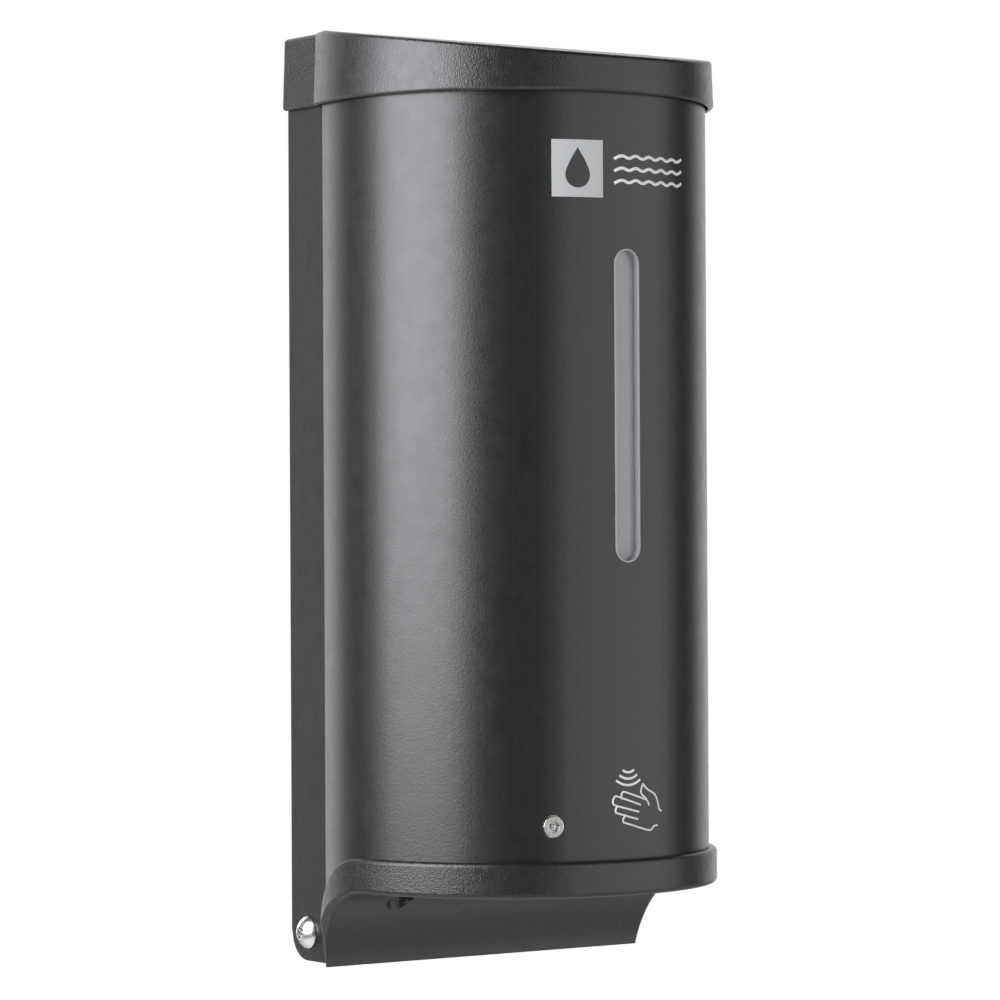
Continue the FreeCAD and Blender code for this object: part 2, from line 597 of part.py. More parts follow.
def gear(x, z, y_span, teeth, bore, phase, thin=0.86):
    """Spur gear about a Y axis. A tooth points along the phase angle, turning from +X to +Z."""
    pitch_r = GEAR_MODULE * teeth / 2
    tip_r = pitch_r + 0.9 * GEAR_MODULE
    root_r = pitch_r - 1.2 * GEAR_MODULE
    half = math.pi / 2 / teeth * thin
    slope = math.tan(math.radians(20))
    half_tip = half - slope * (tip_r - pitch_r) / tip_r
    half_root = half + slope * (pitch_r - root_r) / root_r
    corners = []
    for k in range(teeth):
        middle = math.radians(phase) + 2 * math.pi * k / teeth
        for r, a in ((root_r, -half_root), (tip_r, -half_tip), (tip_r, half_tip), (root_r, half_root)):
            corners.append(Vector(x + r * math.cos(middle + a), y_span[0], z + r * math.sin(middle + a)))
    blank = Part.Face(Part.makePolygon(corners + corners[:1])).extrude(Vector(0, y_span[1] - y_span[0], 0))
    return blank.cut(rod_y(-BIG, BIG, x, z, bore))


def direction(x0, z0, x1, z1):
    return math.degrees(math.atan2(z1 - z0, x1 - x0))


TO_OUTPUT = direction(IDLER_X, IDLER_Z, ROTOR_X, ROTOR_Z)
TO_MOTOR = direction(IDLER_X, IDLER_Z, MOTOR_X, MOTOR_Z)


def output_gear():
    gap = 180.0 / OUTPUT_TEETH
    wheel = gear(ROTOR_X, ROTOR_Z, GEAR_B, OUTPUT_TEETH, 2.0, TO_OUTPUT + 180 + gap)
    for k in range(6):
        a = math.radians(60 * k)
        wheel = wheel.cut(rod_y(-60, -40, ROTOR_X + 8.4 * math.cos(a), ROTOR_Z + 8.4 * math.sin(a), 2.6))
    return wheel


def idler_gear():
    wheel = gear(IDLER_X, IDLER_Z, GEAR_A, WHEEL_TEETH, 1.06, TO_MOTOR)
    small = gear(IDLER_X, IDLER_Z, (GEAR_B[0], GEAR_A[0] + 0.2), IDLER_TEETH, 1.06, TO_OUTPUT, 0.8)
    for k in range(5):
        a = math.radians(72 * k + 10)
        wheel = wheel.cut(rod_y(-60, -40, IDLER_X + 7.4 * math.cos(a), IDLER_Z + 7.4 * math.sin(a), 2.2))
    return joined([wheel, small])


def motor_pinion():
    gap = 180.0 / PINION_TEETH
    return gear(MOTOR_X, MOTOR_Z, GEAR_A, PINION_TEETH, 1.0, TO_MOTOR + 180 + gap, 0.8)


def motor_shaft():
    return rod_y(GEAR_A[0] - 0.3, PLATE_A[1] + 4, MOTOR_X, MOTOR_Z, 1.0)


def motor():
    can = rod_y(PLATE_A[1] + 0.1, PLATE_A[1] + 29, MOTOR_X, MOTOR_Z, 12.1)
    flats = box(MOTOR_X - 20, MOTOR_X + 20, -BIG, BIG, MOTOR_Z - 9.8, MOTOR_Z + 9.8)
    can = can.common(flats)
    nose = rod_y(PLATE_A[1] - 1.6, PLATE_A[1] + 0.2, MOTOR_X, MOTOR_Z, 3.0)
    tail = rod_y(PLATE_A[1] + 28.8, PLATE_A[1] + 30.4, MOTOR_X, MOTOR_Z, 4.0)
    lugs = []
    for x in (MOTOR_X - 7, MOTOR_X + 7):
        lugs.append(box(x - 0.3, x + 0.3, PLATE_A[1] + 28.8, PLATE_A[1] + 32, MOTOR_Z - 1.5, MOTOR_Z + 1.5))
    whole = joined([can, nose, tail] + lugs)
    return whole.cut(rod_y(PLATE_A[1] - 3, PLATE_A[1] + 5, MOTOR_X, MOTOR_Z, 1.05))


def idler_pin():
    return rod_y(PUMP_REAR - 1.4, PLATE_A[1] - 0.6, IDLER_X, IDLER_Z, 1.0)


def gearbox_case():
    spots = ((ROTOR_X, ROTOR_Z, 17.8), (IDLER_X, IDLER_Z, 15.2), (MOTOR_X, MOTOR_Z, 12.4))
    outside = joined([rod_y(PLATE_A[0], PLATE_A[1], x, z, r) for x, z, r in spots]
                     + [rod_y(PUMP_REAR, PLATE_A[1], x, z, r) for x, z, r in spots[:2]]
                     + [rod_y(GEAR_A[0] - 3, PLATE_A[1], MOTOR_X, MOTOR_Z, 6.2)])
    inside = joined([
        rod_y(PUMP_REAR - 1, PLATE_A[0], ROTOR_X, ROTOR_Z, 16.0),
        rod_y(PUMP_REAR - 1, PLATE_A[0], IDLER_X, IDLER_Z, 13.5),
        rod_y(GEAR_A[0] - 1, PLATE_A[0], MOTOR_X, MOTOR_Z, 4.6),
    ])
    case = outside.cut(inside)
    case = case.cut(rod_y(-60, -40, ROTOR_X, ROTOR_Z, 2.05))
    case = case.cut(rod_y(PLATE_A[0] - 1, PLATE_A[1] - 0.6, IDLER_X, IDLER_Z, 1.0))
    return case.cut(rod_y(-60, -40, MOTOR_X, MOTOR_Z, 3.1))


def pump_shape(r, x_end, y0, y1, half):
    block = box(ROTOR_X, x_end, y0, y1, ROTOR_Z - half, ROTOR_Z + half)
    return joined([rod_y(y0, y1, ROTOR_X, ROTOR_Z, r), block])


def pump_body():
    """Squeeze pump body: a half-round track for the tube, open at the front."""
    body = pump_shape(18.0, -8.5, PUMP_FRONT, PUMP_REAR, 18.0)
    cavity = rod_y(PUMP_FRONT - 1, PUMP_REAR - 2, ROTOR_X, ROTOR_Z, TRACK_R)
    body = body.cut(cavity)
    centre = TRACK_R - 1.6
    for side in (-1, 1):
        z = ROTOR_Z + side * centre
        body = body.cut(box(ROTOR_X, 0, PUMP_FRONT - 1, LINE_Y + 3.2, z - 3.2, z + 3.2))
        body = body.cut(box(ROTOR_X, -18, PUMP_FRONT - 1, LINE_Y + 4.2, z - 3.2, z + 1.7))
    body = body.cut(rod_y(-80, -40, ROTOR_X, ROTOR_Z, 2.05))
    return body.cut(rod_y(PUMP_REAR - 1.4, -40, IDLER_X, IDLER_Z, 1.0))


def pump_lid():
    lid = pump_shape(16.9, -9.0, PUMP_FRONT - 1.5, PUMP_FRONT, 16.9)
    for side in (-1, 1):
        lid = lid.cut(rod_y(-80, -60, -12.0, ROTOR_Z + side * 6.0, 1.3))
    return lid


def rotor_body():
    front = rod_y(-71.2, -69.8, ROTOR_X, ROTOR_Z, 11.0)
    rear = rod_y(-60.2, -58.8, ROTOR_X, ROTOR_Z, 11.0)
    hub = rod_y(-71.2, -58.8, ROTOR_X, ROTOR_Z, 4.0)
    rotor = joined([front, rear, hub])
    for x, z in roller_spots():
        rotor = rotor.cut(rod_y(-80, -50, x, z, 1.0))
    return rotor.cut(rod_y(-80, -50, ROTOR_X, ROTOR_Z, 2.0))


def roller_spots():
    spots = []
    for k in range(3):
        a = math.radians(90 + 120 * k)
        spots.append((ROTOR_X + ROLLER_PCR * math.cos(a), ROTOR_Z + ROLLER_PCR * math.sin(a)))
    return spots


def roller(spot):
    body = rod_y(-69.5, -60.5, spot[0], spot[1], ROLLER_R)
    return body.cut(rod_y(-80, -50, spot[0], spot[1], 1.06))


def roller_pins():
    return Part.makeCompound([rod_y(-71.2, -58.8, x, z, 1.0) for x, z in roller_spots()])


def rotor_shaft():
    return rod_y(-71.2, PLATE_A[1] + 1.5, ROTOR_X, ROTOR_Z, 2.0)


# ---------------------------------------------------------------- soap line
def line_wire(points, radius):
    """A path of straight runs in the plane of the soap line, joined by arcs of one radius."""
    edges = []
    start = Vector(points[0][0], LINE_Y, points[0][1])
    for before, here, after in zip(points, points[1:], points[2:]):
        corner = Vector(here[0], LINE_Y, here[1])
        back = (Vector(before[0], LINE_Y, before[1]) - corner).normalize()
        on = (Vector(after[0], LINE_Y, after[1]) - corner).normalize()
        begin, end = corner + back * radius, corner + on * radius
        middle = corner + (back + on).normalize() * (radius * (math.sqrt(2) - 1))
        edges.append(Part.makeLine(start, begin))
        edges.append(Part.Arc(begin, middle, end).toShape())
        start = end
    edges.append(Part.makeLine(start, Vector(points[-1][0], LINE_Y, points[-1][1])))
    return Part.Wire(edges)


def round_tube(points, radius):
    wire = line_wire(points, radius)
    first = Vector(points[0][0], LINE_Y, points[0][1])
    along = Vector(points[1][0] - points[0][0], 0, points[1][1] - points[0][1])
    solids = []
    for r in (TUBE_R, TUBE_BORE):
        section = Part.Wire(Part.makeCircle(r, first, along))
        solids.append(wire.makePipeShell([section], True, False))
    return solids[0].cut(solids[1])


def suction_tube():
    z = ROTOR_Z + TRACK_R - 1.6
    return round_tube([(0, 104.0), (0, z), (-20, z)], 9.0)


def delivery_tube():
    z = ROTOR_Z - TRACK_R + 1.6
    return round_tube([(0, 40.2), (0, z), (-20, z)], 9.0)


def pump_tube():
    """The stretch in the pump, pressed flat between the rollers and the track."""
    centre = TRACK_R - 1.6
    flat = Part.Ellipse(Vector(0, 0, 0), 3.7, 1.45).toShape()

    def section(x, z):
        placed_wire = Part.Wire(flat.copy())
        placed_wire.rotate(Vector(0, 0, 0), Z_AXIS, 90)
        placed_wire.rotate(Vector(0, 0, 0), Y_AXIS, 90)
        placed_wire.translate(Vector(x, LINE_Y, z))
        return placed_wire

    top = Vector(ROTOR_X, LINE_Y, ROTOR_Z + centre)
    bottom = Vector(ROTOR_X, LINE_Y, ROTOR_Z - centre)
    side = Vector(ROTOR_X - centre, LINE_Y, ROTOR_Z)
    path = Part.Wire([
        Part.makeLine(Vector(-20, LINE_Y, top.z), top),
        Part.Arc(top, side, bottom).toShape(),
        Part.makeLine(bottom, Vector(-20, LINE_Y, bottom.z)),
    ])
    return path.makePipeShell([section(-20, top.z)], True, False)


# ---------------------------------------------------------------- tank
def tank_plan(inset, z0, z1):
    r, x = TANK_R - inset, TANK_X - inset
    front = drum(r, z0, z1).common(box(-x, x, -BIG, COVER_AXIS_Y, z0, z1))
    return joined([front, box(-x, x, COVER_AXIS_Y, TANK_REAR - inset, z0, z1)])


def tank():
    outside = tank_plan(0, TANK_LOW, TANK_HIGH)

    def soft(edge):
        b = edge.BoundBox
        return b.ZLength < 0.01

    outside = outside.makeFillet(3.0, edges_where(outside, soft))
    inside = tank_plan(TANK_WALL, TANK_LOW + TANK_WALL, TANK_HIGH - TANK_WALL)
    inside = inside.makeFillet(1.6, edges_where(inside, soft))
    neck = rod_z(TANK_HIGH - 1, TANK_HIGH + 8, 0, NECK_Y, NECK_R)
    spigot = rod_z(TANK_LOW - 9, TANK_LOW + 1, 0, LINE_Y, 5.0)
    barb = rod_z(TANK_LOW - 17, TANK_LOW - 8, 0, LINE_Y, TUBE_BORE)
    body = joined([outside.cut(inside), neck, spigot, barb])
    body = body.cut(rod_z(TANK_HIGH - 5, TANK_HIGH + 10, 0, NECK_Y, NECK_R - 2.0))
    return body.cut(rod_z(TANK_LOW - 20, TANK_LOW + 5, 0, LINE_Y, 1.0))


def outlet_seal():
    seal = rod_z(TUB_HIGH - 1.4, LID_TOP + 1.4, 0, LINE_Y, 8.2)
    groove = rod_z(TUB_HIGH, LID_TOP, 0, LINE_Y, 9.0).cut(rod_z(TUB_HIGH - 1, LID_TOP + 1, 0, LINE_Y, 6.95))
    return seal.cut(groove).cut(rod_z(100, 120, 0, LINE_Y, 5.05))


def filler_cap():
    """Ribbed quarter-turn cap over the tank's neck."""
    low, top = TANK_HIGH + 2.0, TANK_HIGH + 13.0
    skirt = rod_z(low, top, 0, NECK_Y, 20.0)
    edge = edges_where(skirt, lambda e: e.BoundBox.ZMin > top - 0.01 and e.Length > 100)
    skirt = skirt.makeFillet(1.4, edge)
    skirt = skirt.cut(rod_z(low - 1, TANK_HIGH + 10.6, 0, NECK_Y, NECK_R + 0.5))
    grip = box(-13, 13, NECK_Y - 1.8, NECK_Y + 1.8, top - 1, top + 3.0)
    cap = joined([skirt, grip])
    for k in range(24):
        a = math.radians(15 * k + 7.5)
        cap = cap.cut(rod_z(low - 1, top - 1.6, 20.6 * math.cos(a), NECK_Y + 20.6 * math.sin(a), 1.2))
    return cap


def filler_gasket():
    top = TANK_HIGH + 10.5
    return rod_z(TANK_HIGH + 8.1, top, 0, NECK_Y, NECK_R).cut(rod_z(250, 270, 0, NECK_Y, NECK_R - 2.2))


def tank_clip():
    """Spring strip on the wall plate that holds the tank down by its rear top edge."""
    upright = box(-12, 12, -2.7, -PLATE_SHEET, TANK_HIGH - 24, TANK_HIGH + 1.5)
    arm = box(-12, 12, -16, -2.7, TANK_HIGH + 0.3, TANK_HIGH + 1.5)
    return joined([upright, arm])


# ---------------------------------------------------------------- power
def cell_spots():
    x_mid, y_mid = sum(BAT_X) / 2, sum(BAT_Y) / 2
    return [(x_mid + sx * 7.5, y_mid + sy * 7.5) for sx in (-1, 1) for sy in (-1, 1)]


CELL_LOW = 46.5


def cells():
    bodies = []
    for k, (x, y) in enumerate(cell_spots()):
        body = rod_z(CELL_LOW, CELL_LOW + CELL_LENGTH, x, y, CELL_R)
        body = body.makeFillet(0.6, [e for e in body.Edges if e.Length > 30 and e.BoundBox.ZLength < 0.01])
        up = k in (0, 3)
        nub_low = CELL_LOW + CELL_LENGTH - 0.1 if up else CELL_LOW - 1.2
        bodies.append(joined([body, rod_z(nub_low, nub_low + 1.3, x, y, 2.7)]))
    return Part.makeCompound(bodies)


def battery_box():
    (x0, x1), (y0, y1), (z0, z1) = BAT_X, BAT_Y, BAT_Z
    case = box(x0, x1, y0, y1, z0, z1).cut(box(x0 + 1.4, x1 - 1.4, y0 - 5, y1 - 1.4, z0 + 1.4, z1 - 1.4))
    mid = (x0 + x1) / 2
    rib = box(mid - 0.3, mid + 0.3, y1 - 8, y1 - 1, z0 + 8, z1 - 12)
    return joined([case, rib])


def contact_plates():
    plates = []
    for x, y in cell_spots():
        plates.append(box(x - 5, x + 5, y - 5, y + 5, BAT_Z[0] + 1.5, BAT_Z[0] + 2.0))
        plates.append(box(x - 5, x + 5, y - 5, y + 5, BAT_Z[1] - 2.0, BAT_Z[1] - 1.5))
    return Part.makeCompound(plates)


def contact_springs():
    """A cone of three coils at the flat end of each cell."""
    springs = []
    for k, (x, y) in enumerate(cell_spots()):
        up = k in (0, 3)
        base = BAT_Z[0] + 2.5 if up else BAT_Z[1] - 2.5
        away = 1 if up else -1
        reach = abs((CELL_LOW if up else CELL_LOW + CELL_LENGTH) - base) - 0.6
        coils = []
        for n in range(3):
            centre = Vector(x, y, base + away * reach * n / 2)
            coils.append(Part.makeTorus(4.6 - 0.9 * n, 0.45, centre, Z_AXIS))
        posts = [
            rod_z(min(base, base + away * reach), max(base, base + away * reach), x + 4.6, y, 0.4),
        ]
        arms = [box(x + 2.4, x + 4.8, y - 0.4, y + 0.4, c - 0.4, c + 0.4)
                for c in (base + away * reach / 2, base + away * reach)]
        springs.append(joined(coils + posts + arms))
    return Part.makeCompound(springs)


def battery_door():
    """Curved door on the module's front: it slides up to come free of its rails."""
    door = ring(TUB_R + 1.5, TUB_R + 0.15, BAT_Z[0] + 1, BAT_Z[1] - 1)
    door = door.common(box(BAT_X[0] - 0.5, BAT_X[1] - 0.5, -BIG, -50, 0, 120))
    middle = math.degrees(math.asin(((BAT_X[0] + BAT_X[1]) / 2 - 0.5) / TUB_R))
    for k in range(5):
        groove = box(-7, 7, COVER_AXIS_Y - TUB_R - 3, COVER_AXIS_Y - TUB_R - 1.0, 0, 1.0)
        groove.translate(Vector(0, 0, BAT_Z[1] - 14 + 2.2 * k))
        door = door.cut(turned(groove, middle))
    return door


def door_rails():
    rails = []
    for x0, x1 in ((BAT_X[0] - 2.0, BAT_X[0] - 0.8), (BAT_X[1] - 0.2, BAT_X[1] + 1.0)):
        rail = ring(TUB_R + 1.5, TUB_R, BAT_Z[0] + 1, TUB_HIGH - 1)
        rails.append(rail.common(box(x0, x1, -BIG, -50, 0, 120)))
    return Part.makeCompound(rails)


def dc_jack():
    body = box(JACK_X - 5, JACK_X + 5, JACK_Y - 4.5, JACK_Y + 4.5, TUB_LOW + 2.1, TUB_LOW + 14)
    body = body.cut(rod_z(TUB_LOW, TUB_LOW + 11, JACK_X, JACK_Y, 2.9))
    return joined([body, rod_z(TUB_LOW + 4, TUB_LOW + 12, JACK_X, JACK_Y, 0.95)])


BOARD_Y = -26.0


def control_board():
    """Circuit board with its chip, capacitors, driver and plugs."""
    y = BOARD_Y
    board = box(-51.5, -17.0, y, y + 1.6, 44.0, 107.0)
    parts = [
        box(-40, -28, y - 1.6, y, 76, 88),
        box(-48, -43, y - 6.5, y, 90, 103),
        box(-30, -20, y - 6.5, y, 96, 103),
        box(-27, -21, y - 2.2, y, 62, 69),
        box(-48.5, -34.5, y - 4.0, y, 51.5, 55.5),
        rod_y(y - 10, y, -36, 66, 4.0),
        rod_y(y - 8, y, -46, 70, 3.0),
    ]
    return joined([board] + parts)


def switch_body():
    return box(-4.5, 4.5, -94.7, -88.5, 88.0, 104.0).cut(box(-1.9, 1.9, -96, -92.5, 90.8, 101.2))


def switch_slider():
    block = box(-1.6, 1.6, -98.6, -92.7, 91.4, 96.4)
    for k in range(3):
        block = block.cut(box(-2, 2, -99, -98.2, 92.3 + 1.4 * k, 92.9 + 1.4 * k))
    return block


# ---------------------------------------------------------------- the pieces
SINGLES = {
    "front_cover": front_cover,
    "top_cap": top_cap,
    "bottom_moulding": bottom_moulding,
    "window_lens": window_lens,
    "window_retainer": window_retainer,
    "cap_screws": cap_screws,
    "moulding_screws": moulding_screws,
    "back_plate": back_plate,
    "lock_bush": lock_bush,
    "lock_spindle": lock_spindle,
    "lock_cam": lock_cam,
    "lock_nut": lock_nut,
    "catch_bracket": catch_bracket,
    "module_tub": module_tub,
    "module_lid": module_lid,
    "module_screws": module_screws,
    "sensor_head": sensor_head,
    "sensor_window": sensor_window,
    "sensor_board": sensor_board,
    "status_lamp": status_lamp,
    "nozzle": nozzle,
    "nozzle_valve": nozzle_valve,
    "output_gear": output_gear,
    "idler_gear": idler_gear,
    "idler_pin": idler_pin,
    "motor_pinion": motor_pinion,
    "motor_shaft": motor_shaft,
    "drive_motor": motor,
    "gearbox_case": gearbox_case,
    "pump_body": pump_body,
    "pump_lid": pump_lid,
    "pump_rotor": rotor_body,
    "rotor_shaft": rotor_shaft,
    "roller_pins": roller_pins,
    "suction_tube": suction_tube,
    "pump_tube": pump_tube,
    "delivery_tube": delivery_tube,
    "soap_tank": tank,
    "outlet_seal": outlet_seal,
    "filler_cap": filler_cap,
    "filler_gasket": filler_gasket,
    "tank_clip": tank_clip,
    "battery_cells": cells,
    "battery_box": battery_box,
    "contact_plates": contact_plates,
    "contact_springs": contact_springs,
    "battery_door": battery_door,
    "door_rails": door_rails,
    "dc_jack": dc_jack,
    "control_board": control_board,
    "switch_body": switch_body,
    "switch_slider": switch_slider,
}

for name, make in SINGLES.items():
    save(name, make())

for number, spot in enumerate(roller_spots(), 1):
    save("pump_roller_%d" % number, roller(spot))

right_strip = side_strip()
save("right_side_strip", right_strip)
save("left_side_strip", mirrored(right_strip))

for name, make in (("pivot_screws", pivot_screw), ("pivot_bushes", pivot_bush), ("hinge_nuts", hinge_nut)):
    right = make()
    save(name, Part.makeCompound([right, mirrored(right)]))
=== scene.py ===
import math

import bmesh
import bpy
from mathutils import Matrix, Vector


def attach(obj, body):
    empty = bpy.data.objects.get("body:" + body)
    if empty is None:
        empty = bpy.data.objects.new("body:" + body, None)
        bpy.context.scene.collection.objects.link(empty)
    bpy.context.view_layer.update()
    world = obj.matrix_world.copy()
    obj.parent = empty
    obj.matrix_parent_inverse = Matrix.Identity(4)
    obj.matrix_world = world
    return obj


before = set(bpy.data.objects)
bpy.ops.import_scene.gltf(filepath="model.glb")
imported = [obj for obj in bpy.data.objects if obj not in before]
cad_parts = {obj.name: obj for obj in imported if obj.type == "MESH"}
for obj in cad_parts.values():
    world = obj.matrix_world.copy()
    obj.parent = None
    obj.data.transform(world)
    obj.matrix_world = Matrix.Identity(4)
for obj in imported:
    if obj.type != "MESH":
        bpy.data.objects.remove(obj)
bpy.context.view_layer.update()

# ---------------------------------------------------------------- camera
# A long lens held level at the height of the lock, about 35 degrees round to the left of
# the front, as someone sees the dispenser who stands beside the basin.
CAMERA_SPOT = Vector((-0.7625, -1.1282, -0.0087))
CAMERA_TURN, CAMERA_PITCH, CAMERA_ROLL = (math.radians(a) for a in (34.836, 0.322, -0.287))

ahead = Vector((
    math.sin(CAMERA_TURN) * math.cos(CAMERA_PITCH),
    math.cos(CAMERA_TURN) * math.cos(CAMERA_PITCH),
    math.sin(CAMERA_PITCH),
))
level_right = Vector((math.cos(CAMERA_TURN), -math.sin(CAMERA_TURN), 0))
level_up = level_right.cross(ahead)
camera_right = level_right * math.cos(CAMERA_ROLL) + level_up * math.sin(CAMERA_ROLL)
camera_up = level_up * math.cos(CAMERA_ROLL) - level_right * math.sin(CAMERA_ROLL)
camera_data = bpy.data.cameras.new("studio_camera")
camera_data.lens = 147.65
camera_data.sensor_width = 36
camera_data.clip_start, camera_data.clip_end = 0.05, 50
camera = bpy.data.objects.new("studio_camera", camera_data)
camera.matrix_world = Matrix.Translation(CAMERA_SPOT) @ Matrix(
    (camera_right, camera_up, -ahead)).transposed().to_4x4()
bpy.context.scene.collection.objects.link(camera)
bpy.context.scene.camera = camera
bpy.context.scene.view_settings.view_transform = "Standard"


# ---------------------------------------------------------------- studio
# A bright white backdrop behind the wall side, a tall softbox square on to the left, a
# weak light on the backdrop's left half that draws the line down the cover's rear edge,
# and a dim broad panel on the right.
def add(tree, kind, settings=None, ins=(), **named):
    """A shader node with its settings, and with inputs that are numbers or other nodes' outputs."""
    made = tree.nodes.new("ShaderNode" + kind)
    for key, value in (settings or {}).items():
        setattr(made, key, value)
    pairs = [(made.inputs[n], v) for n, v in enumerate(ins) if v is not None]
    pairs += [(made.inputs[key.replace("_", " ")], v) for key, v in named.items()]
    for socket, value in pairs:
        if isinstance(value, bpy.types.NodeSocket):
            tree.links.new(value, socket)
        else:
            socket.default_value = value
    return made


ROOM_DARK, ROOM_BRIGHT = 0.015, 1.3
BACKDROP_BEARING = math.radians(206)

world = bpy.data.worlds.new("studio")
bpy.context.scene.world = world
world.use_nodes = True
tree = world.node_tree
tree.nodes.clear()
way = add(tree, "TexCoord").outputs["Generated"]
to_backdrop = (-math.sin(BACKDROP_BEARING), -math.cos(BACKDROP_BEARING), 0)
facing = add(tree, "VectorMath", {"operation": "DOT_PRODUCT"}, ins=[way, to_backdrop]).outputs["Value"]
behind = add(tree, "MapRange", {"interpolation_type": "SMOOTHSTEP"},
             ins=[facing, 0.53, 0.73, ROOM_DARK, ROOM_BRIGHT])
seen = add(tree, "Background", Color=(1, 1, 1, 1), Strength=1.0)
felt = add(tree, "Background", Color=(1, 1, 1, 1), Strength=behind.outputs[0])
ray = add(tree, "LightPath").outputs["Is Camera Ray"]
both = add(tree, "MixShader", ins=[ray, felt.outputs[0], seen.outputs[0]])
add(tree, "OutputWorld", Surface=both.outputs[0])


def softbox(name, left, height, away, wide, tall, watts, aim, colour):
    """A rectangular lamp. left is its bearing in degrees, from straight in front round to the left."""
    data = bpy.data.lights.new(name, "AREA")
    data.shape = "RECTANGLE"
    data.size, data.size_y = wide, tall
    data.energy = watts
    data.color = colour
    lamp = bpy.data.objects.new(name, data)
    turn = math.radians(left)
    spot = Vector((-math.sin(turn) * away, -0.05 - math.cos(turn) * away, height))
    lamp.location = spot
    lamp.rotation_mode = "QUATERNION"
    lamp.rotation_quaternion = (spot - Vector((0, -0.05, aim))).to_track_quat("Z", "Y")
    lamp.visible_camera = False
    bpy.context.scene.collection.objects.link(lamp)
    return lamp


softbox("left_softbox", 89, 0.64, 1.3, 1.24, 1.6, 64, 0.64, (0.985, 0.99, 1.03))
softbox("backdrop_light", 168, 0.3, 1.3, 0.62, 1.6, 3.0, 0.3, (1.0, 0.975, 0.91))
softbox("right_panel", -30, 0.1, 1.5, 2.45, 1.5, 19.5, 0.1, (1.0, 1.0, 1.0))

FLOOR_LIFT = 0.5

floor_mesh = bpy.data.meshes.new("studio_floor")
bm = bmesh.new()
bmesh.ops.create_circle(bm, cap_ends=True, segments=96, radius=3.0)
bmesh.ops.translate(bm, vec=(0, 0, -0.75), verts=bm.verts)
bm.to_mesh(floor_mesh)
bm.free()
studio_floor = bpy.data.objects.new("studio_floor", floor_mesh)
bpy.context.scene.collection.objects.link(studio_floor)
floor_paint = bpy.data.materials.new("floor_paint")
floor_paint.use_nodes = True
floor_paint.node_tree.nodes["Principled BSDF"].inputs["Base Color"].default_value = (0.8, 0.8, 0.79, 1)
floor_paint.node_tree.nodes["Principled BSDF"].inputs["Roughness"].default_value = 0.7
lift = add(floor_paint.node_tree, "Math", {"operation": "MULTIPLY"},
           ins=[add(floor_paint.node_tree, "LightPath").outputs["Is Camera Ray"], FLOOR_LIFT])
floor_shader = floor_paint.node_tree.nodes["Principled BSDF"]
floor_shader.inputs["Emission Color"].default_value = (1, 1, 0.99, 1)
floor_paint.node_tree.links.new(lift.outputs[0], floor_shader.inputs["Emission Strength"])
floor_mesh.materials.append(floor_paint)


# ---------------------------------------------------------------- finishes
# Three effects that most of the finishes share: fine surface texture, broad unevenness and
# edges of another colour, partly rubbed wear and partly a painted highlight along the edges.
# Each is a node group that gives heights, masks or normals.
def group(name, numbers, results):
    tree = bpy.data.node_groups.new(name, "ShaderNodeTree")
    for label, value in numbers:
        socket = tree.interface.new_socket(label, in_out="INPUT", socket_type="NodeSocketFloat")
        socket.default_value = value
    for label in results:
        tree.interface.new_socket(label, in_out="OUTPUT", socket_type="NodeSocketFloat")
    return tree, tree.nodes.new("NodeGroupInput"), tree.nodes.new("NodeGroupOutput")


def math_node(tree, operation, *values):
    return add(tree, "Math", {"operation": operation}, ins=values).outputs[0]


texture_group, given, result = group("fine_texture", [("Scale", 1500.0), ("Stretch", 1.0)], ["Height"])
spot = add(texture_group, "TexCoord").outputs["Object"]
split = add(texture_group, "SeparateXYZ", ins=[spot])
squeezed = math_node(texture_group, "MULTIPLY", split.outputs["Z"], given.outputs["Stretch"])
placed = add(texture_group, "CombineXYZ", ins=[split.outputs["X"], split.outputs["Y"], squeezed]).outputs[0]
ripple = add(texture_group, "TexNoise", Vector=placed, Scale=given.outputs["Scale"], Detail=1.5)
pits = add(texture_group, "TexVoronoi", {"feature": "SMOOTH_F1"}, Vector=placed, Scale=given.outputs["Scale"])
blend = math_node(texture_group, "MULTIPLY_ADD", pits.outputs["Distance"], 0.6, ripple.outputs[0])
texture_group.links.new(blend, result.inputs[0])

mottle_group, given, result = group("unevenness", [("Scale", 30.0)], ["Broad", "Fine"])
spot = add(mottle_group, "TexCoord").outputs["Object"]
broad = add(mottle_group, "TexNoise", Vector=spot, Scale=given.outputs["Scale"], Detail=3.0)
fine_scale = math_node(mottle_group, "MULTIPLY", given.outputs["Scale"], 14.0)
fine = add(mottle_group, "TexNoise", Vector=spot, Scale=fine_scale, Detail=4.0)
mottle_group.links.new(broad.outputs[0], result.inputs[0])
mottle_group.links.new(fine.outputs[0], result.inputs[1])

# Edge mask from the bevel: the colour laid along these edges is partly rubbed wear and partly a painted
# highlight.
edge_wear_and_highlight_group, given, result = group("rubbed_and_highlit_edges", [("Radius", 0.0004), ("Patchiness", 90.0)], ["Mask"])
edge_wear_and_highlight_group.interface.new_socket("Normal", in_out="OUTPUT", socket_type="NodeSocketVector")
rounded = add(edge_wear_and_highlight_group, "Bevel", {"samples": 4}, Radius=given.outputs["Radius"]).outputs[0]
straight = add(edge_wear_and_highlight_group, "NewGeometry").outputs["Normal"]
agree = add(edge_wear_and_highlight_group, "VectorMath", {"operation": "DOT_PRODUCT"}, ins=[rounded, straight]).outputs["Value"]
sharp = add(edge_wear_and_highlight_group, "MapRange", ins=[agree, 0.99, 0.86, 0.0, 1.0]).outputs[0]
spot = add(edge_wear_and_highlight_group, "TexCoord").outputs["Object"]
patches = add(edge_wear_and_highlight_group, "TexNoise", Vector=spot, Scale=given.outputs["Patchiness"], Detail=3.0).outputs[0]
patches = add(edge_wear_and_highlight_group, "MapRange", ins=[patches, 0.42, 0.62, 0.15, 1.0]).outputs[0]
